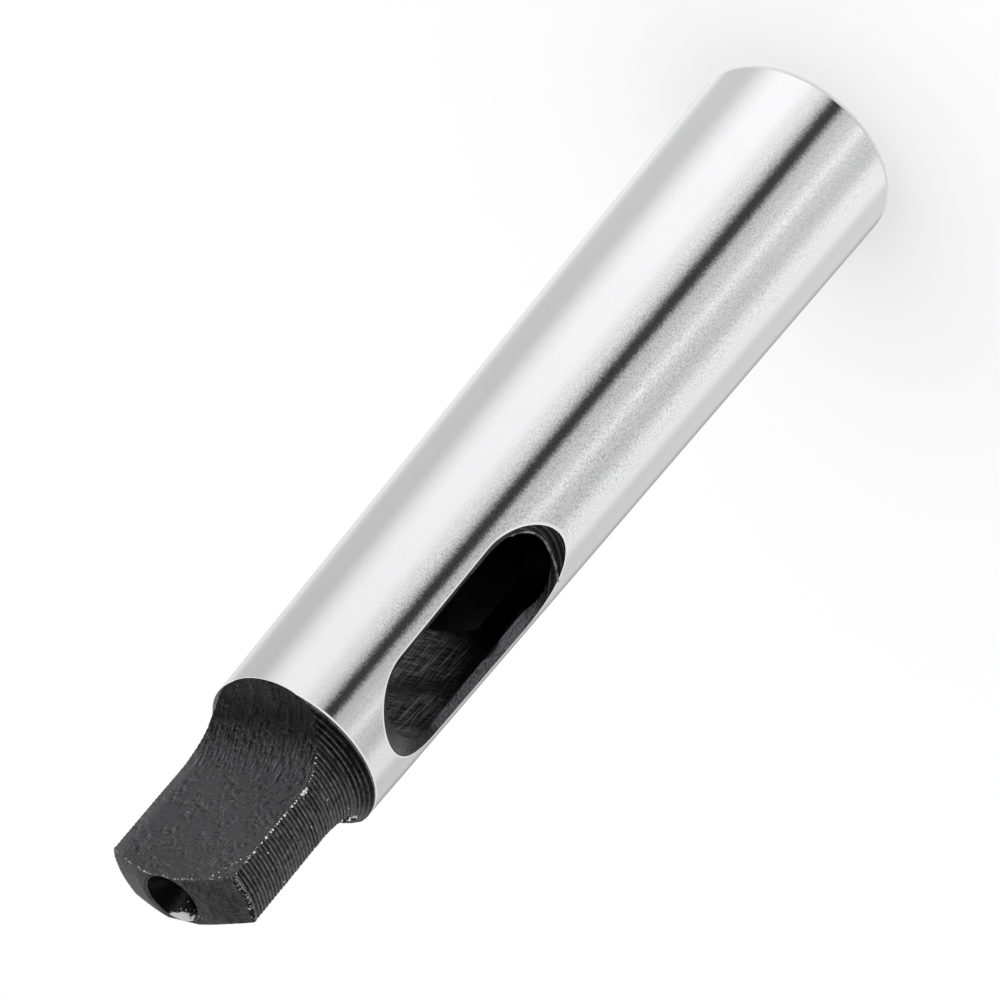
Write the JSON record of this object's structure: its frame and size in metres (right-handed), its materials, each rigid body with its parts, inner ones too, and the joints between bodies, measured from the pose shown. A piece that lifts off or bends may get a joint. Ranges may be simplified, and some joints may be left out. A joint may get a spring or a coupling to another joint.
{
  "type": "morse taper sleeve",
  "caption": "Tapered steel reduction sleeve with a tapered socket in its big end, a flared drift slot through its side and a flat driving tang.",
  "frame": {"origin": "centre of the big end's face, where the socket opens", "axes": "+Z along the axis from the big end to the tang, X through the drift slot, Y square to the tang's flats"},
  "size_m": [0.0186, 0.0186, 0.0922],
  "materials": {
    "steel": "fine ground on the outer taper, blackened on the neck, tang and slot"
  },
  "bodies": {
    "root": {"sleeve": "steel"}
  },
  "joints": []
}
